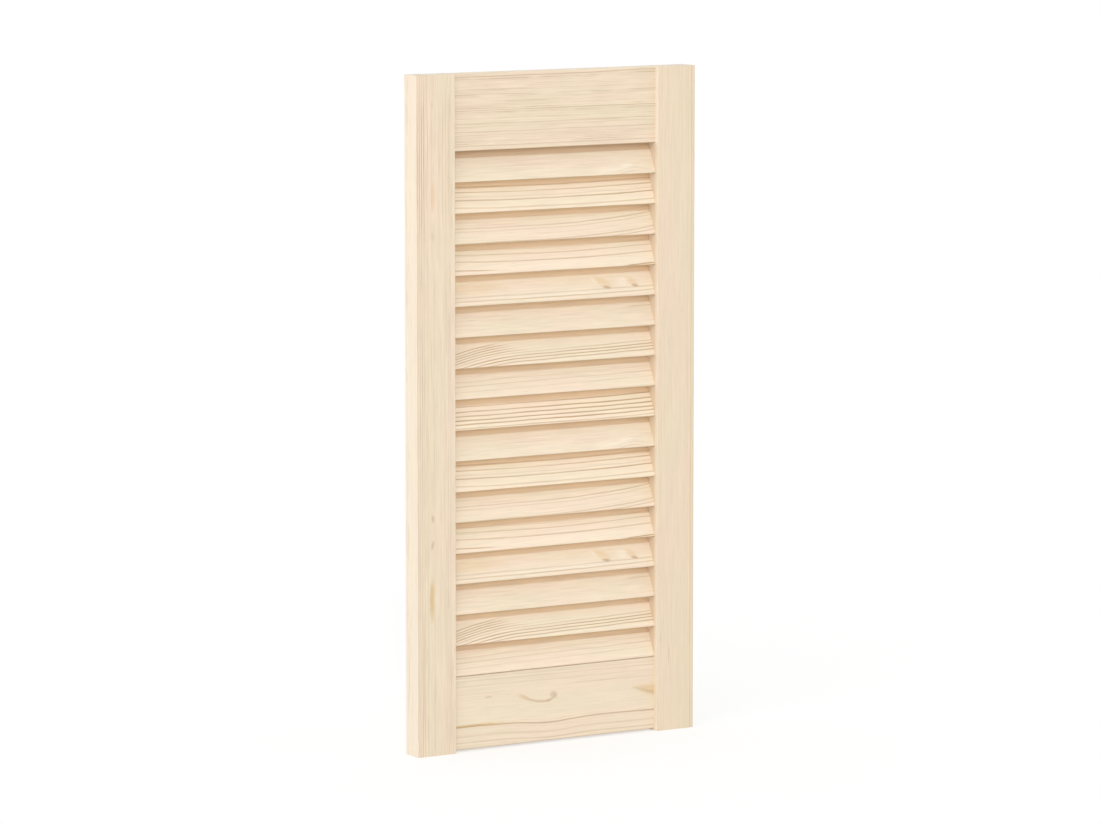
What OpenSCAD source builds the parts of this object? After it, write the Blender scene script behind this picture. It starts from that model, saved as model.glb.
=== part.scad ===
// Louvred cabinet door in pine
// Two stiles, two rails, fixed slanting slats in routed housings, and dowelled corners.
// Origin: centre of the door's footprint, at the stiles' lower ends. +Z up, front face at -Y.

/* [Door] */
// Width over both stiles
door_w = 294; // [240:1:600]
// Height of the stiles
door_h = 615; // [390:1:1000]
// Thickness of the stiles
door_t = 22; // [20:0.5:26]

/* [Stiles] */
// Face width of each stile
stile_w = 40; // [36:1:60]
// Radius on the eased long edges of stiles and rails
arris_r = 0.8; // [0.3:0.1:1.5]

/* [Rails] */
// Face height of the top rail
top_rail_h = 69.5; // [50:0.5:120]
// Face height of the bottom rail
bottom_rail_h = 67; // [50:0.5:120]
// Height of the bottom rail's lower edge above the stiles' ends
bottom_rail_lift = 2; // [0:0.5:10]
// Setback of the rails' front faces behind the stiles' front faces
rail_setback = 4.5; // [2:0.5:6]

/* [Slats] */
// Wanted height from one slat to the next, rounded so that a whole number fits
wanted_pitch = 28; // [24:0.5:34]
// Width of a slat across its slope
slat_w = 31; // [26:0.5:36]
// Thickness of a slat, whose long edges are full rounds
slat_t = 4.5; // [3.5:0.25:6]
// Wood left between the slats' rear edges and the stiles' back faces
slat_cover = 1.1; // [0.8:0.1:2]
// Depth to which a slat's end enters its stile
slat_tenon = 8; // [4:0.5:12]

/* [Dowels] */
// Diameter of a dowel
dowel_d = 8; // [6:0.5:10]
// Length of a dowel, half of it in each piece
dowel_l = 40; // [30:1:50]
// Distance of a dowel's axis from its rail's edge
dowel_inset = 17; // [12:0.5:18]
// Chamfer on a dowel's ends
dowel_chamfer = 1; // [0.3:0.1:1.5]
// Number of glue flutes round a dowel
flute_count = 10; // [6:1:12]
// Depth of a glue flute
flute_depth = 0.35; // [0.2:0.05:0.5]

/* [Fits] */
// Clearance all round a slat in its housing
housing_fit = 0.15; // [0.05:0.05:0.3]
// Free depth beyond a slat's end
housing_relief = 0.5; // [0.2:0.1:1]
// Clearance all round a dowel in its hole
dowel_fit = 0.1; // [0.05:0.05:0.2]
// Free depth beyond a dowel's end
dowel_relief = 1; // [0.5:0.1:2]
// Clearance under the lowest slat's nose
foot_clear = 0.2; // [0.1:0.1:1]
// Clearance over the top slat
head_clear = 0.3; // [0.1:0.1:2]

/* [Hidden] */
$fn = 64;
front_y = -door_t / 2;
back_y = door_t / 2;
opening_w = door_w - 2 * stile_w;
inner_x = opening_w / 2;
outer_x = door_w / 2;

rail_t = door_t - rail_setback;
rail_front_y = front_y + rail_setback;
rail_mid_y = rail_front_y + rail_t / 2;
bottom_rail_z = bottom_rail_lift;
opening_low_z = bottom_rail_z + bottom_rail_h;
opening_high_z = door_h - top_rail_h;

// The slats fill the depth from the rails' front faces to the cover behind them, which sets their slope.
nose_r = slat_t / 2;
slat_front_y = rail_front_y;
slat_depth = back_y - slat_cover - slat_front_y;
slat_flat = slat_w - slat_t;
slope = acos((slat_depth - slat_t) / slat_flat);
slat_rise = slat_flat * sin(slope) + slat_t;
slat_mid_y = slat_front_y + slat_depth / 2;

// The slats share the height of the opening at one even pitch.
pitch_room = opening_high_z - opening_low_z - slat_rise - foot_clear - head_clear;
slat_count = round(pitch_room / wanted_pitch) + 1;
slat_pitch = pitch_room / (slat_count - 1);
lowest_slat_mid_z = opening_low_z + foot_clear + slat_rise / 2;

flute_r = 0.6;
cut_over = 1;

RAILS = ["top", "bottom"];
SIDES = ["left", "right"];
LEVELS = ["upper", "lower"];

function slat_name(n) = str("slat_", n < 10 ? "0" : "", n);
function dowel_name(rail, side, level) = str(rail, "_", side, "_", level, "_dowel");
function side_sign(side) = side == "left" ? -1 : 1;
function rail_low_z(rail) = rail == "top" ? opening_high_z : bottom_rail_z;
function rail_h(rail) = rail == "top" ? top_rail_h : bottom_rail_h;
function slat_mid_z(n) = lowest_slat_mid_z + (n - 1) * slat_pitch;
function dowel_z(rail, level) =
    rail_low_z(rail) + (level == "lower" ? dowel_inset : rail_h(rail) - dowel_inset);

// What easing takes off a square corner at the origin, whose wood lies towards +X and +Y
module corner_waste() {
    difference() {
        translate([-cut_over, -cut_over]) square(arris_r + cut_over);
        translate([arris_r, arris_r]) circle(arris_r);
    }
}

// Outline of a slat across its length, sloping up and back, centred on the origin
module slat_outline(clear = 0) {
    rotate(slope) {
        square([slat_flat, slat_t + 2 * clear], center = true);
        for (end = [-1, 1]) translate([end * slat_flat / 2, 0]) circle(nose_r + clear);
    }
}

// Stile outline seen from above, with its inner edge on the YZ plane and its outer edge at +X
module stile_outline() {
    difference() {
        translate([0, front_y]) square([stile_w, door_t]);
        translate([0, front_y]) corner_waste();
        translate([stile_w, front_y]) mirror([1, 0]) corner_waste();
        translate([stile_w, back_y]) rotate(180) corner_waste();
    }
}

// Rail outline across its length, with its lower edge at the origin's height
module rail_outline(h) {
    difference() {
        translate([rail_front_y, 0]) square([rail_t, h]);
        translate([rail_front_y, 0]) corner_waste();
        translate([rail_front_y, h]) mirror([0, 1]) corner_waste();
        translate([back_y, 0]) mirror([1, 0]) corner_waste();
        translate([back_y, h]) rotate(180) corner_waste();
    }
}

// An outline drawn in Y and Z, drawn out along X from x0 over a length
module along_x(x0, length) {
    translate([x0, 0, 0]) rotate([90, 0, 90]) linear_extrude(height = length) children();
}

// Slanting, round-ended housing for one slat, routed into a stile whose inner edge is on the YZ plane
module slat_housing(n) {
    along_x(-cut_over, cut_over + slat_tenon + housing_relief)
        translate([slat_mid_y, slat_mid_z(n)]) slat_outline(housing_fit);
}

// The holes for all dowels of one side, lying along X on both sides of the joint line
module dowel_holes() {
    half = dowel_l / 2 + dowel_relief;
    for (rail = RAILS, level = LEVELS)
        translate([-half, rail_mid_y, dowel_z(rail, level)])
            rotate([0, 90, 0]) cylinder(d = dowel_d + 2 * dowel_fit, h = 2 * half);
}

// Right-hand stile with its inner edge on the YZ plane
module stile_blank() {
    difference() {
        linear_extrude(height = door_h) stile_outline();
        for (n = [1:slat_count]) slat_housing(n);
        dowel_holes();
    }
}

module stile(side) {
    color("#ecdcc3")
        if (side == "left") mirror([1, 0, 0]) translate([inner_x, 0, 0]) stile_blank();
        else translate([inner_x, 0, 0]) stile_blank();
}

module rail(name) {
    color("#efdfc6") difference() {
        along_x(-inner_x, opening_w) translate([0, rail_low_z(name)]) rail_outline(rail_h(name));
        for (side = SIDES) translate([side_sign(side) * inner_x, 0, 0]) dowel_holes();
    }
}

module slat(n) {
    color("#f1e2c9") along_x(-inner_x - slat_tenon, opening_w + 2 * slat_tenon)
        translate([slat_mid_y, slat_mid_z(n)]) slat_outline();
}

// Fluted dowel along X, centred on the origin
module dowel_pin() {
    r = dowel_d / 2;
    rotate([0, 90, 0]) difference() {
        translate([0, 0, -dowel_l / 2]) rotate_extrude() polygon([
            [0, 0],
            [r - dowel_chamfer, 0],
            [r, dowel_chamfer],
            [r, dowel_l - dowel_chamfer],
            [r - dowel_chamfer, dowel_l],
            [0, dowel_l]
        ]);
        for (i = [0:flute_count - 1])
            rotate(i * 360 / flute_count) translate([r + flute_r - flute_depth, 0, -dowel_l / 2 - cut_over])
                cylinder(r = flute_r, h = dowel_l + 2 * cut_over, $fn = 24);
    }
}

module dowel(rail, side, level) {
    color("#d9b98a")
        translate([side_sign(side) * inner_x, rail_mid_y, dowel_z(rail, level)]) dowel_pin();
}

stile("left");  // left_stile
stile("right");  // right_stile
rail("top");  // top_rail
rail("bottom");  // bottom_rail
for (n = [1:slat_count])
    slat(n);
for (r = RAILS, s = SIDES, l = LEVELS)
    dowel(r, s, l);
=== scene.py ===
import math

import bpy
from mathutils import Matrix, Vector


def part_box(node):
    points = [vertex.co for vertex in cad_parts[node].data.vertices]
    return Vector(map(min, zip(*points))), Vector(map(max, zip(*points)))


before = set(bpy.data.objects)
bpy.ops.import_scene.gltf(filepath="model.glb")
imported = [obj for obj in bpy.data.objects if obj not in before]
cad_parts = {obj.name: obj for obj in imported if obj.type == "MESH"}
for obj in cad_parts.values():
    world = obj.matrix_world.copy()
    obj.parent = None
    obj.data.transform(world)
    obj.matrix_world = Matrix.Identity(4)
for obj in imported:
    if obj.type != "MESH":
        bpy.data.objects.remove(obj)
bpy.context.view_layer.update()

mm = 0.001
white = (1.0, 1.0, 1.0)


def radians(*degrees):
    return [math.radians(d) for d in degrees]


# a shader socket that can be added, multiplied and so on, each step adding a Math node
class Wire:
    def __init__(self, graph, socket):
        self.graph = graph
        self.socket = socket

    def math(self, operation, *others):
        return self.graph.math(operation, self, *others)

    def __add__(self, other):
        return self.math("ADD", other)

    def __radd__(self, other):
        return self.math("ADD", other)

    def __sub__(self, other):
        return self.math("SUBTRACT", other)

    def __rsub__(self, other):
        return self.graph.math("SUBTRACT", other, self)

    def __mul__(self, other):
        return self.math("MULTIPLY", other)

    def __rmul__(self, other):
        return self.math("MULTIPLY", other)

    def __truediv__(self, other):
        return self.math("DIVIDE", other)

    def __pow__(self, other):
        return self.math("POWER", other)

    def __neg__(self):
        return self.math("MULTIPLY", -1.0)

    def __abs__(self):
        return self.math("ABSOLUTE")

    def rise(self, low, high):  # 0 below low, 1 above high, smooth between
        settings = {"interpolation_type": "SMOOTHSTEP"}
        return self.graph.node("MapRange", settings, {"Value": self, "From Min": low, "From Max": high})

    def between(self, low, high):  # spreads low..high of a noise over 0..1
        return self.graph.node("MapRange", {}, {"Value": self, "From Min": low, "From Max": high})


# the nodes of one material, or of the world
class Graph:
    def __init__(self, owner):
        owner.use_nodes = True
        self.tree = owner.node_tree
        self.tree.nodes.clear()

    def plug(self, socket, value):
        if isinstance(value, Wire):
            self.tree.links.new(value.socket, socket)
        elif socket.type == "RGBA":
            socket.default_value = (*value, 1.0)
        else:
            socket.default_value = value

    def node(self, kind, settings=None, sockets=None, out=0):
        made = self.tree.nodes.new("ShaderNode" + kind)
        for name, value in (settings or {}).items():
            setattr(made, name, value)
        for key, value in (sockets or {}).items():
            self.plug(made.inputs[key], value)
        return Wire(self, made.outputs[out]) if made.outputs else made

    def math(self, operation, *values):
        return self.node("Math", {"operation": operation}, dict(enumerate(values)))

    def mix(self, amount, first, second):  # two colours, by socket number because the names repeat
        factor, colourA, colourB, result = 0, 6, 7, 2
        sockets = {factor: amount, colourA: first, colourB: second}
        return self.node("Mix", {"data_type": "RGBA"}, sockets, result)

    def split(self, vector):
        first = self.node("SeparateXYZ", {}, {0: vector})
        return [Wire(self, part) for part in first.socket.node.outputs]

    def noise(self, place, scale, detail):
        return self.node("TexNoise", {}, {"Vector": place, "Scale": scale, "Detail": detail})


# colours are linear, distances in mm
pine = {
    "early": (0.826, 0.696, 0.536),
    "late": (0.460, 0.305, 0.160),
    "pinkish": (0.846, 0.682, 0.535),
    "greenish": (0.806, 0.704, 0.520),
    # pale patches of the wood, and the colour of painted light on top faces and the stiles' edges
    "pale": (0.900, 0.800, 0.660),
    "knot": (0.46, 0.270, 0.125),
    "ochre": (0.74, 0.520, 0.270),
    "recessShade": (0.825, 0.625, 0.430),  # painted shade on a slat's upper part, under the next slat's nose
    "gapShade": (0.715, 0.530, 0.345),  # painted shade deep between the slats and on the stiles' inner sides
    "under": (0.430, 0.290, 0.155),  # painted shade on undersides
    "earlyShare": 0.35,  # share of the plain early colour over the pinkish and greenish clouds
    "ripple": 1.3,  # height of the lines' small waves
    "fibreTone": 0.12,  # how much each of these changes the brightness
    "streakTone": 0.2,
    "lightTone": 0.06,
    "dashTone": 0.05,
    "roughness": 0.52,
    "lateGloss": 0.08,  # how much smoother late wood is
    "fibreRoughness": 0.1,
    "ridge": 0.05,  # how far late wood stands up
    "ridgeStrength": 0.7,
    "fibreHeight": 0.6,  # height of the fibre as a share of the late wood's
}

# noise fields of the grain: stretch along the board, scale, detail, shift
fields = {
    "wander": (8.0, 0.045, 1.0, 0.0),  # slow bends of the lines
    "ripple": (6.0, 0.17, 2.0, 9.0),
    "patch": (5.0, 0.15, 2.0, 5.0),  # where the fine rings show
    "uneven": (9.0, 0.07, 2.0, 3.0),  # darkness along the drawn lines
    "fibre": (45.0, 1.7, 2.0, 0.0),
    "streak": (16.0, 0.5, 3.0, 1.0),
    "dash": (11.0, 0.8, 1.0, 7.0),
    "cloud": (5.0, 0.045, 2.0, 2.0),  # from pinkish to greenish
    "light": (7.0, 0.07, 2.0, 4.0),
    "ragged": (3.0, 0.35, 2.0, 0.0),  # edges of knots and stains
}
spans = {  # the part of a field's range that is spread over 0..1
    "patch": (0.36, 0.6),
    "uneven": (0.35, 0.65),
    "dash": (0.64, 0.76),
    "cloud": (0.35, 0.65),
}
seedStep = 37  # how far apart the fields of two seeds lie

# random rings round the heart
rings = {
    "softSide": 1.5,  # of the wide rings, as a multiple of a drawn line's
    "wideSwing": 1.0,  # how uneven the spacing is
    "fineLate": 0.42,  # share of late wood in a fine ring
    "fineSwing": 1.6,
    "swingRate": 0.45,  # changes of the spacing per ring
    "sharpSide": (0.0, 0.3),
    "faintest": 0.35,  # strength of the faintest ring
    "quiet": 0.12,  # what is left of them in a quiet stretch
    "quietEdge": (0.75, 1.1),  # where that stretch ends, as shares of its half height
}

# lines drawn by height, sharp below and soft above
line = {
    "lead": 0.6,  # how far below its height a line is measured from
    "foot": -0.55,
    "top": 0.1,
    "least": 0.72,  # darkness where a line is weakest
    "swing": 0.4,
    "dashFull": 0.4,  # share of a dash that is at full darkness
}

# faces of a board, told apart by how far the normal points that way
faces = {
    "side": (0.6, 0.95),
    "top": (0.75, 0.95),
    # painted light: how much paler faces that look up are
    "topLight": 0.8,
    "slatUnder": 0.45,  # where the painted shade of an underside begins
    "frameUnder": 0.1,
    "underSpan": 0.4,
    "endLines": 0.8,  # how much darker lines are on end grain
    "endTone": 0.96,
    "edgeLines": 0.35,  # how much fainter lines are on a stile's planed edges
    "edgeStreaks": 0.75,  # and streaks, on ends too
    # painted light: how much paler a stile's side faces are
    "edgeLight": 0.46,
}

# painted shade where the slats keep daylight off each other and off the stiles' inner sides, with some
# painted light on the slats' upper halves and beside the top rail
paintedLightAndShade = {
    "front": (-1.0, 1.0),  # a slat's front half ends here, into the board
    "recessShade": (6.9, 7.7),  # these two painted shades begin here across a slat's slope
    "gapShade": (10.4, 12.4),
    "lift": (-8.0, 6.0),  # painted light: the upper half is a little paler
    "liftLight": 0.025,
    "louvreEnd": (233.0, 239.0),  # the rails' edges, along the stile
    "stileDepth": (-8.5, -5.0),
    "stileShade": 0.6,
    "stileFall": 0.0005,  # more of the painted shade further down
    "railHighlight": 0.5,  # painted highlight: the inner sides are paler beside the top rail
}
underShade = {"frame": 0.75, "slat": 0.9, "lowestSlat": 0.1}  # strength of the painted shade on undersides; the lowest slat lies close above the rail

# knots, stains and pale patches, which don't go right through a board
marking = {
    "depth": (3, 9),
    "stainEdge": (0.3, 1.05),
    "knotEdge": (0.3, 1.1),
}
hook = {  # curved end of a knot's branch, ochre and thicker at its start
    "width": 1.2,
    "startWidth": 1.3,
    "edge": (0.3, 1.5),
    "fadeIn": 7,
    "fadeOut": 3,
    "strength": 0.42,
    "startFade": 0.16,
}

# how the pattern turns to run with each kind of board
slatSlope = 63.32
turns = {
    "stile": radians(0, -90, 0),
    "rail": radians(0, 0, 0),
    "slat": radians(slatSlope - 90, 0, 0),
}


# a knot, stain or pale patch on a board's face; lean slants it, drop makes it fall to the right
def mark(colour, along, across, halfLong, halfHigh, strength, lean=0.0, drop=0.0, ragged=0.6):
    return {
        "colour": colour,
        "along": along,
        "across": across,
        "halfLong": halfLong,
        "halfHigh": halfHigh,
        "strength": strength,
        "lean": lean,
        "drop": drop,
        "ragged": ragged,
    }


# how one board is cut from the log: how its rings run, and the marks on its face
def cut(seed, face, **changes):
    figure = {
        "seed": seed,
        "face": face,  # how deep the front face lies
        "heart": (-160, 60),  # across and into the board
        "rise": 0.0,  # slope of the lines along the board
        "bow": 0.0,  # how much they curve up towards both ends, 1/mm
        "sweep": (1, 0, 0.0),  # to the right (1) or left (-1) of this place, they curve away
        "waves": [],  # along, across, half length, half height, lift
        "lines": [],  # dark lines: height across the face, darkness
        "dashes": [],  # shorter ones: along, height, half length, darkness
        "lean": 0.4,  # how the lines shift with depth
        "late": 1.5,  # width of a line's soft side
        "ring": 7.0,  # spacing of the random rings behind the drawn lines
        "strength": 0.1,
        "fineRing": 2.0,
        "fine": 0.2,
        "wander": 2.0,
        "mellow": 0.0,  # share of ochre in the whole board
        "tone": 1.0,
        "fade": 0.0,  # how much lighter towards the top or the right, 1/mm
        "streaks": 1.0,
        "quiet": (0, 0),  # a stretch across the face with hardly a line, middle and half height
        "marks": [],
        "hooks": [],  # lowest point along and across, curve, start, end
    }
    figure.update(changes)
    return figure


# one board's nodes, in a pattern space measured from its middle: along, into and across the board
class Board(Graph):
    def __init__(self, name, kind, figure):
        self.material = bpy.data.materials.new("pine_" + name)
        super().__init__(self.material)
        self.kind = kind
        self.figure = figure
        low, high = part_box(name)
        place = self.node("Mapping", {"vector_type": "TEXTURE"}, {
            "Vector": self.node("TexCoord", out="Object"),
            "Location": (low + high) / 2,
            "Rotation": turns[kind],
            "Scale": (mm, mm, mm),
        })
        self.along, self.into, self.across = self.split(place)
        self.inner = math.copysign(1, low.x)  # which of a stile's edges faces the slats
        self.normal = self.split(self.node("NewGeometry", out="Normal"))
        self.sideways, upright = [abs(self.normal[n]).rise(*faces["side"]) for n in (0, 2)]
        self.ends = upright if kind == "stile" else self.sideways
        if kind == "slat":
            self.front = 1.0 - self.into.rise(*paintedLightAndShade["front"])

    def grain(self, field, shift=0.0):
        stretch, scale, detail, offset = fields[field]
        run = self.along / stretch + (self.figure["seed"] * seedStep + offset + shift)
        place = self.node("CombineXYZ", {}, {0: run, 1: self.into, 2: self.across})
        return self.noise(place, scale, detail)

    # height in the log: straight lines of it are the grain, bent by waves, knots and slow noise
    def logHeight(self):
        figure = self.figure
        along, across = self.along, self.across
        side, start, pull = figure["sweep"]
        beyond = self.math("MAXIMUM", (along - start) * side, 0.0)
        level = across - along * figure["rise"] - along * along * figure["bow"] - beyond * beyond * pull
        for alongMid, acrossMid, halfLong, halfHigh, lift in figure["waves"]:
            x = (along - alongMid) / halfLong
            z = (across - acrossMid) / halfHigh
            level = level - self.math("EXPONENT", -(x * x + z * z)) * lift
        level = level + (self.grain("wander") - 0.5) * figure["wander"]
        return level + (self.grain("ripple") - 0.5) * pine["ripple"]

    def randomRings(self, out, spacing, late, uneven):
        seed = self.figure["seed"]
        shift = out / spacing * rings["swingRate"] + seed
        swing = self.node("TexNoise", {"noise_dimensions": "1D"}, {"W": shift, "Detail": 0.0})
        phase = out / spacing + (swing - 0.5) * uneven + seed
        left = (1.0 - self.math("FRACT", phase)) * spacing
        weight = self.node("TexWhiteNoise", {"noise_dimensions": "1D"}, {"W": self.math("FLOOR", phase)})
        strength = rings["faintest"] + weight * (1.0 - rings["faintest"])
        return (1.0 - left.rise(0.0, late)) * left.rise(*rings["sharpSide"]) * strength

    # the faint rings that every board has, measured outwards from the heart
    def faintRings(self, level):
        figure = self.figure
        heartAcross, heartInto = figure["heart"]
        wide = level - heartAcross
        deep = self.into - heartInto
        faceOut = math.hypot(heartAcross, figure["face"] - heartInto)
        out = (wide * wide + deep * deep) ** 0.5 - faceOut
        wideLate = figure["late"] * rings["softSide"]
        fineLate = figure["fineRing"] * rings["fineLate"]
        faint = self.randomRings(out, figure["ring"], wideLate, rings["wideSwing"])
        fine = self.randomRings(out, figure["fineRing"], fineLate, rings["fineSwing"])
        patch = self.grain("patch").between(*spans["patch"])
        faint = faint * figure["strength"] + fine * patch * figure["fine"]
        quietMid, quietHalf = figure["quiet"]
        if quietHalf:
            start, end = rings["quietEdge"]
            calm = abs(self.across - quietMid).rise(quietHalf * start, quietHalf * end)
            faint = faint * (rings["quiet"] + (1.0 - rings["quiet"]) * calm)
        return faint

    # how much late wood there is: faint rings, and over them the lines and dashes of the figure
    def lateWood(self):
        figure = self.figure
        level = self.logHeight()
        late = self.faintRings(level)
        drawn = level - (self.into - figure["face"]) * figure["lean"]
        uneven = line["least"] + line["swing"] * self.grain("uneven").between(*spans["uneven"])

        def ringLine(height, darkness):
            above = drawn - (height - line["lead"])
            soft = 1.0 - above.rise(line["top"], figure["late"])
            return soft * above.rise(line["foot"], line["top"]) * uneven * darkness

        for height, darkness in figure["lines"]:
            late = self.math("MAXIMUM", late, ringLine(height, darkness))
        for alongMid, height, halfLong, darkness in figure["dashes"]:
            near = 1.0 - abs(self.along - alongMid).rise(halfLong * line["dashFull"], halfLong)
            late = self.math("MAXIMUM", late, ringLine(height, darkness) * near)
        late = late * (1.0 + self.ends * faces["endLines"])
        if self.kind == "stile":
            late = late * (1.0 - self.sideways * faces["edgeLines"])
        return late

    # painted shade on a slat's front, in the recess under the next slat and deep in the gap
    def paintSlatShade(self, ground):
        for colour in ("recessShade", "gapShade"):
            amount = self.across.rise(*paintedLightAndShade[colour]) * self.front
            ground = self.mix(amount, ground, pine[colour])
        return ground

    # painted light makes a stile's edges paler, with a painted highlight beside the top rail, and painted
    # shade deepens the inner sides between the slats
    def paintStileLightAndShade(self, ground):
        along = self.along
        inside = self.sideways * (self.across * self.inner).rise(0.0, 1.0)
        # painted highlight beside the top rail
        beside = inside * along.rise(*paintedLightAndShade["louvreEnd"]) * paintedLightAndShade["railHighlight"]
        # painted light on the side faces, and the painted highlight beside the top rail
        ground = self.mix(self.sideways * faces["edgeLight"] + beside, ground, pine["pale"])
        # painted shade on the inner sides, between the slats
        louvre = 1.0 - abs(along).rise(*paintedLightAndShade["louvreEnd"])
        depth = self.into.rise(*paintedLightAndShade["stileDepth"])
        amount = inside * louvre * depth * (paintedLightAndShade["stileShade"] - along * paintedLightAndShade["stileFall"])
        return self.mix(amount, ground, pine["gapShade"])

    # the wood between the rings, with painted light and shade laid over it
    def groundColour(self):
        clouds = self.grain("cloud").between(*spans["cloud"])
        ground = self.mix(clouds, pine["pinkish"], pine["greenish"])
        ground = self.mix(pine["earlyShare"], ground, pine["early"])
        ground = self.mix(self.figure["mellow"], ground, pine["ochre"])
        if self.kind == "slat":
            ground = self.paintSlatShade(ground)
        if self.kind == "stile":
            ground = self.paintStileLightAndShade(ground)
        # painted light: faces that look up are paler
        return self.mix(self.normal[2].rise(*faces["top"]) * faces["topLight"], ground, pine["pale"])

    def addMarks(self, colour, skin, marks, edge):
        for m in marks:
            x = self.along - m["along"]
            z = self.across - m["across"]
            wide = (x + z * m["lean"]) / m["halfLong"]
            high = (z + x * m["drop"]) / m["halfHigh"]
            ragged = (self.grain("ragged", m["along"]) - 0.5) * m["ragged"]
            spot = (wide * wide + high * high) ** 0.5 + ragged  # 0 in the middle, 1 at the edge
            amount = (1.0 - spot.rise(*edge)) * skin * m["strength"]
            colour = self.mix(amount, colour, pine[m["colour"]])
        return colour

    def addHooks(self, colour, skin):
        for alongLow, acrossLow, curve, start, end in self.figure["hooks"]:
            run = self.along - alongLow
            off = abs(self.across - acrossLow - run * run * curve)
            atStart = 1.0 - self.along.rise(start, (start + end) / 2)
            thick = 1.0 - (off / (hook["width"] + atStart * hook["startWidth"])).rise(*hook["edge"])
            fadeIn = self.along.rise(start, start + hook["fadeIn"])
            fadeOut = 1.0 - self.along.rise(end - hook["fadeOut"], end)
            strength = hook["strength"] - atStart * hook["startFade"]
            tint = self.mix(atStart, pine["knot"], pine["ochre"])
            colour = self.mix(thick * (fadeIn * fadeOut) * skin * strength, colour, tint)
        return colour

    # stains lie under the rings, knots and hooks over them
    def woodColour(self, late, under):
        figure = self.figure
        shallow, deep = marking["depth"]
        skin = 1.0 - self.into.rise(figure["face"] + shallow, figure["face"] + deep)
        stains = [m for m in figure["marks"] if m["colour"] != "knot"]
        knots = [m for m in figure["marks"] if m["colour"] == "knot"]
        ground = self.addMarks(self.groundColour(), skin, stains, marking["stainEdge"])
        colour = self.mix(self.math("MINIMUM", late, 1.0), ground, pine["late"])
        colour = self.addMarks(colour, skin, knots, marking["knotEdge"])
        colour = self.addHooks(colour, skin)
        # painted shade on faces that look down
        start = faces["slatUnder"] if self.kind == "slat" else faces["frameUnder"]
        down = -self.normal[2]
        return self.mix(down.rise(start, start + faces["underSpan"]) * under, colour, pine["under"])

    # brightness, 1 on plain wood
    def tone(self, fibre):
        figure = self.figure
        streak = self.grain("streak") - 0.5
        dash = self.grain("dash").rise(*spans["dash"])
        light = self.grain("light") - 0.5
        streak = streak * (1.0 - self.sideways * faces["edgeStreaks"]) * figure["streaks"]
        tone = 1.0 + fibre * pine["fibreTone"] + streak * pine["streakTone"]
        tone = tone + light * pine["lightTone"] - dash * pine["dashTone"]
        tone = tone * (self.along * figure["fade"] + figure["tone"])
        # painted light: the upper half of a slat's front is lifted a little
        if self.kind == "slat":
            tone = tone * (1.0 + self.across.rise(*paintedLightAndShade["lift"]) * self.front * paintedLightAndShade["liftLight"])
        return tone * (1.0 - self.ends * (1 - faces["endTone"]))


def pineBoard(name, kind, figure, under):
    board = Board(name, kind, figure)
    late = board.lateWood()
    fibre = board.grain("fibre") - 0.5
    colour = board.woodColour(late, under)
    tone = board.node("HueSaturation", {}, {"Value": board.tone(fibre), "Color": colour})
    bump = board.node("Bump", {}, {
        "Height": late + fibre * pine["fibreHeight"],
        "Distance": pine["ridge"] * mm,
        "Strength": pine["ridgeStrength"],
    })
    surface = board.node("BsdfPrincipled", {}, {
        "Base Color": tone,
        "Roughness": pine["roughness"] - late * pine["lateGloss"] + fibre * pine["fibreRoughness"],
        "Normal": bump,
    })
    board.node("OutputMaterial", {}, {"Surface": surface})
    return board.material


def dress(name, material):
    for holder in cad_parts[name].material_slots:
        holder.material = material


# the stiles: fine upright lines, the heart beyond one edge
stileFigures = {
    "left_stile": cut(
        1.7, face=-11.0, heart=(-260, 30), ring=4.6, strength=0.12, fineRing=1.8, fine=0.75,
        wander=0.7, mellow=0.05, tone=0.962, fade=0.00006, late=0.5, lean=-0.4,
        lines=[(19.7, 0.6), (17.4, 0.5), (15.2, 0.55), (12.9, 0.4), (9.4, 0.3), (-7.4, 0.2),
               (-11.8, 0.3), (-14.6, 0.25)],
        dashes=[(215, 12.9, 105, 1.0), (225, 17.4, 95, 0.95), (215, 15.2, 105, 1.0), (235, 19.7, 80, 1.0),
                (260, 9.2, 45, 0.4), (50, 5.6, 25, 0.45), (-165, 6.8, 17, 0.4), (-230, 14.0, 60, 0.5),
                (-250, -14.2, 30, 0.4), (190, -15.8, 40, 0.4), (-40, 11.0, 60, 0.4), (100, -9.6, 50, 0.36),
                (235, 5.2, 60, 0.3), (225, -2.4, 80, 0.34), (235, -6.2, 75, 0.4), (215, -9.4, 85, 0.34),
                (230, -12.8, 75, 0.4)],
        marks=[mark("knot", -115, 4.2, 4.6, 2.1, 0.44, lean=1.2),
               mark("knot", -91, 3.8, 5, 2.2, 0.38, lean=-0.5),
               mark("knot", 163, 3.6, 5, 2.2, 0.16, lean=-0.6),
               mark("knot", 281, 3.8, 5, 2.0, 0.16),
               mark("ochre", -164, 4.9, 24, 3.4, 0.85),
               mark("ochre", 199, 3.2, 17, 3.0, 0.5)],
    ),
    "right_stile": cut(
        5.2, face=-11.0, heart=(210, 40), ring=6.5, strength=0.06, fineRing=2.0, fine=0.26,
        wander=1.0, mellow=0.12, tone=0.945, fade=0.00004, streaks=0.7,
        lines=[(-15.9, 0.34), (-12.8, 0.1), (-18.9, 0.26), (12.5, 0.06)],
        dashes=[(-237, 7.2, 12, 0.3)],
    ),
}

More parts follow.
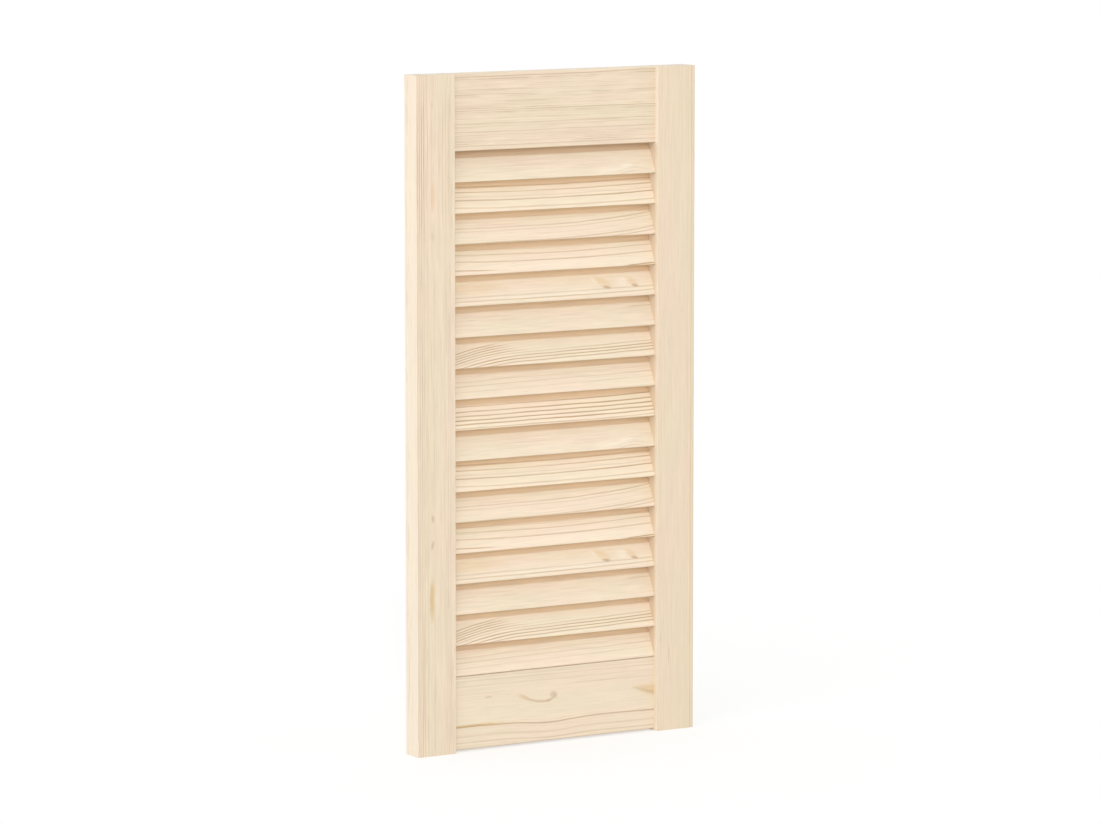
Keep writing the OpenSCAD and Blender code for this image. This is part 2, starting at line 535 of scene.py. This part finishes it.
# the top rail is lined all over, the bottom one has a quiet middle with a hooked knot
railFigures = {
    "top_rail": cut(
        9.1, face=-8.75, heart=(-190, 40), ring=9.0, strength=0.1, fineRing=1.7, fine=1.15,
        wander=1.2, mellow=0.09, tone=0.98, late=0.9, waves=[(100, 33, 50, 6, 1.4)],
        lines=[(31.9, 0.62), (1.7, 0.6), (-10.1, 0.42), (-12.8, 0.28), (-17.6, 0.46), (-20.8, 0.3),
               (-26.6, 0.24), (-30.1, 0.46)],
        dashes=[(-65, 20.4, 50, 0.4), (-75, 16.3, 35, 0.26), (50, 12.6, 55, 0.26), (50, 6.3, 50, 0.24),
                (-85, 4.8, 30, 0.28), (-100, 0.0, 15, 0.4)],
    ),
    "bottom_rail": cut(
        12.4, face=-8.75, heart=(-140, 60), ring=8.0, strength=0.12, fineRing=1.8, fine=0.55,
        wander=0.8, mellow=0.04, tone=0.972, streaks=0.7, rise=-0.012, quiet=(1, 14),
        waves=[(-7, -19, 30, 17, -2.9)],
        lines=[(-13.8, 0.76), (-22.3, 0.34), (-28.3, 0.42), (28.1, 0.32), (31.0, 0.26), (23.4, 0.26)],
        dashes=[(62, 18.3, 60, 0.36), (-71, 12.0, 5, 0.6), (-80, 15.8, 40, 0.16), (-70, 13.4, 40, 0.14)],
        hooks=[(-11, 3.2, 0.0114, -41, -4), (-9, 3.4, 0.045, -12, -0.5)],
        marks=[mark("knot", -1.7, 8.2, 5.0, 4.6, 0.36),
               mark("knot", 0.2, 8.0, 2.2, 3.6, 0.16),
               mark("ochre", 118, 1.6, 40, 8.0, 0.7, drop=0.16),
               mark("knot", 99, 2.8, 17, 2.6, 0.3, drop=0.3),
               mark("ochre", -85, -12.4, 45, 1.7, 0.9),
               mark("knot", -92, -12.2, 30, 1.2, 0.35),
               mark("ochre", -33, 8.8, 9, 3.0, 0.36, drop=0.4)],
    ),
}
for kind, figures in (("stile", stileFigures), ("rail", railFigures)):
    for name, figure in figures.items():
        dress(name, pineBoard(name, kind, figure, underShade["frame"]))
print("stiles and rails dressed")


def slatCut(seed, **changes):
    return cut(seed, face=-2.25, **changes)


# nine figures, from the top slat down, and then the first eight again
slatFigures = [
    slatCut(20, fine=0.3, tone=1.032, waves=[(85, -16, 22, 16, 7.0)],
            dashes=[(-35, 2.6, 40, 0.14), (-30, -2.0, 45, 0.2), (-30, -5.8, 30, 0.16),
                    (70, -19.5, 30, 0.34), (85, -15.5, 25, 0.26)],
            marks=[mark("pale", 62, -10.5, 24, 3.2, 0.5),
                   mark("pale", 78, -8, 9, 4.0, 0.6, lean=-1.0),
                   mark("pale", -15, -9, 30, 3.5, 0.25)]),
    slatCut(21, fine=0.2, tone=1.077, bow=0.00016, wander=0.6,
            lines=[(8.4, 0.5), (3.0, 0.62), (-1.6, 0.3), (-4.8, 0.85), (-12.3, 0.52)]),
    slatCut(22, fine=0.28, tone=1.047, sweep=(1, -10, 0.00055), wander=0.8,
            lines=[(-0.9, 0.5), (-4.0, 0.27), (-15.0, 0.6), (-18.4, 0.66), (5.0, 0.22)],
            dashes=[(-60, 1.6, 40, 0.2), (-80, 4.4, 30, 0.18)]),
    slatCut(23, fine=0.18, tone=1.062, bow=0.00024, wander=0.8,
            lines=[(1.8, 0.5), (-5.0, 0.52), (6.6, 0.3)],
            dashes=[(-95, -13.4, 40, 0.8), (92, -16.6, 22, 1.1), (-95, 0.4, 25, 0.24)],
            marks=[mark("pale", 20, -10, 150, 4.5, 0.14, ragged=0.2)]),
    slatCut(24, fine=0.16, tone=1.037, sweep=(1, 10, 0.00012), wander=0.8,
            lines=[(-7.4, 0.42), (-11.3, 0.58)],
            marks=[mark("ochre", -85, 0.5, 45, 8.0, 0.32),
                   mark("ochre", 30, 2.0, 60, 7.0, 0.1),
                   mark("pale", 10, -9.6, 130, 2.6, 0.45, ragged=0.2),
                   mark("pale", 75, -1, 9, 5, 0.5),
                   mark("pale", 46, 1.0, 3, 4.5, 0.5, lean=0.8),
                   mark("ochre", 54, -0.2, 9.4, 7.0, 0.42, lean=0.8),
                   mark("knot", 57.2, -5.8, 5.2, 1.9, 0.6, lean=0.9),
                   mark("ochre", 85, -1.2, 6.6, 6.6, 0.4, lean=0.8),
                   mark("knot", 87.5, -5.6, 4.4, 2.0, 0.6, lean=0.9)]),
    slatCut(25, fine=0.14, tone=1.01, mellow=0.03, streaks=1.45,
            dashes=[(-60, 2.7, 25, 0.2), (-45, -1.0, 12, 0.16), (98, 4.0, 20, 0.36)]),
    slatCut(26, fine=0.2, tone=1.042, rise=0.024, sweep=(-1, -30, -0.00158), wander=0.5, late=1.15,
            lines=[(-3.0, 0.54), (-5.8, 1.0), (-8.7, 1.05), (-11.6, 0.84)],
            dashes=[(-95, -0.6, 90, 1.0), (-95, 1.8, 75, 0.9), (-95, 4.1, 62, 0.95), (-95, 6.2, 66, 0.78),
                    (-95, 8.6, 50, 0.84)]),
    slatCut(27, fine=0.3, tone=1.037, rise=0.015, wander=1.0, streaks=1.2,
            lines=[(2.4, 0.3), (-2.2, 0.38), (7.2, 0.2), (-7.6, 0.22)]),
    slatCut(28, fine=0.08, tone=1.087, sweep=(1, 30, 0.0002), wander=0.6,
            lines=[(6.6, 0.84), (1.5, 1.0), (-2.7, 1.18), (-6.8, 1.28), (-10.4, 1.12), (-14.2, 0.74)]),
]
slatNames = sorted((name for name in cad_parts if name.startswith("slat_")), reverse=True)
for slatsAbove, name in enumerate(slatNames):
    under = underShade["lowestSlat"] if name == slatNames[-1] else underShade["slat"]
    dress(name, pineBoard(name, "slat", slatFigures[slatsAbove % len(slatFigures)], under))
print("slats dressed")


# the dowels that pin the rails to the stiles, hidden in the joints
beech = {
    "wood": (0.60, 0.39, 0.235),
    "fleck": (0.42, 0.245, 0.135),
    "fleckScale": (90.0, 900.0, 900.0),  # 1/m, long along the dowel
    "fleckSpan": (0.56, 0.7),
    "fleckStrength": 0.6,
    "detail": 2.0,
    "roughness": 0.6,
}


def beechDowel():
    material = bpy.data.materials.new("beech_dowel")
    g = Graph(material)
    parts = zip(g.split(g.node("TexCoord", out="Object")), beech["fleckScale"])
    place = g.node("CombineXYZ", {}, dict(enumerate(part * scale for part, scale in parts)))
    fleck = g.noise(place, 1.0, beech["detail"]).rise(*beech["fleckSpan"])
    surface = g.node("BsdfPrincipled", {}, {
        "Base Color": g.mix(fleck * beech["fleckStrength"], beech["wood"], beech["fleck"]),
        "Roughness": beech["roughness"],
    })
    g.node("OutputMaterial", {}, {"Surface": surface})
    return material


dowelWood = beechDowel()
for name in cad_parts:
    if name.endswith("_dowel"):
        dress(name, dowelWood)
print("dowels dressed")


# a plain floor, light from all round and two lamps
studio = {
    "floorSize": 60,
    "floorColour": (0.45, 0.45, 0.45),
    "floorRoughness": 0.9,
    "floorGlow": 0.555,
    "sideGlow": 1.2,  # the light that comes level from both sides
    "frontGlow": 0.5,  # and from the front
    "backGlow": 0.95,
    "horizonGlow": 0.45,  # more of it near the horizon in front
    "horizonBand": (0.02, 0.14),
    "frontToBack": (-0.1, 0.1),
    "topGlow": 1.5,  # a soft box overhead
    "topFocus": 8.0,
}
lamps = {  # degrees to the left of the front, up and across, and strength
    "key": {"left": 30, "up": 34, "width": 5, "power": 0.68},
    "soft": {"left": 50, "up": 30, "width": 60, "power": 0.66},
}


def makeFloor():
    bpy.ops.object.select_all(action="DESELECT")
    bpy.ops.mesh.primitive_plane_add(size=studio["floorSize"])
    floor = bpy.context.object
    floor.name = "floor"
    paint = bpy.data.materials.new("floor_paint")
    g = Graph(paint)
    surface = g.node("BsdfPrincipled", {}, {
        "Base Color": studio["floorColour"],
        "Roughness": studio["floorRoughness"],
        "Specular IOR Level": 0.0,
        "Emission Color": white,
        "Emission Strength": studio["floorGlow"],
    })
    g.node("OutputMaterial", {}, {"Surface": surface})
    floor.data.materials.append(paint)


def makeDaylight():
    world = bpy.data.worlds.new("studio")
    bpy.context.scene.world = world
    g = Graph(world)
    x, y, z = g.split(g.node("TexCoord", out="Generated"))
    horizon = 1.0 - abs(z).rise(*studio["horizonBand"])
    front = studio["frontGlow"] + horizon * studio["horizonGlow"]
    behind = y.rise(*studio["frontToBack"])
    level = front * (1.0 - behind) + behind * studio["backGlow"]
    above = g.math("MAXIMUM", z, 0.0) ** studio["topFocus"]
    glow = x * x * studio["sideGlow"] + y * y * level + above * studio["topGlow"]
    background = g.node("Background", {}, {"Strength": glow, "Color": white})
    g.node("OutputWorld", {}, {"Surface": background})


def makeLamps():
    for name, choice in lamps.items():
        lamp = bpy.data.lights.new(name, "SUN")
        lamp.energy = choice["power"]
        lamp.angle = math.radians(choice["width"])
        sun = bpy.data.objects.new(name, lamp)
        bpy.context.scene.collection.objects.link(sun)
        sun.rotation_euler = radians(90 - choice["up"], 0, -choice["left"])


makeFloor()
makeDaylight()
makeLamps()
print("studio lit")

view = {
    "lens": 176.52,
    "sensor": 36,
    "sight": 100,  # metres
    "place": (-2.5204, -4.1657, 0.9215),
    "tilt": 7.233,  # degrees down
    "turn": 31.16,  # degrees to the right of straight ahead
}


def placeCamera():
    camera = bpy.data.objects.new("camera", bpy.data.cameras.new("camera"))
    bpy.context.scene.collection.objects.link(camera)
    camera.data.lens = view["lens"]
    camera.data.sensor_width = view["sensor"]
    camera.data.clip_end = view["sight"]
    camera.location = view["place"]
    camera.rotation_euler = radians(90 - view["tilt"], 0, -view["turn"])
    bpy.context.scene.camera = camera
    bpy.context.scene.view_settings.view_transform = "Standard"


placeCamera()
print("camera placed")
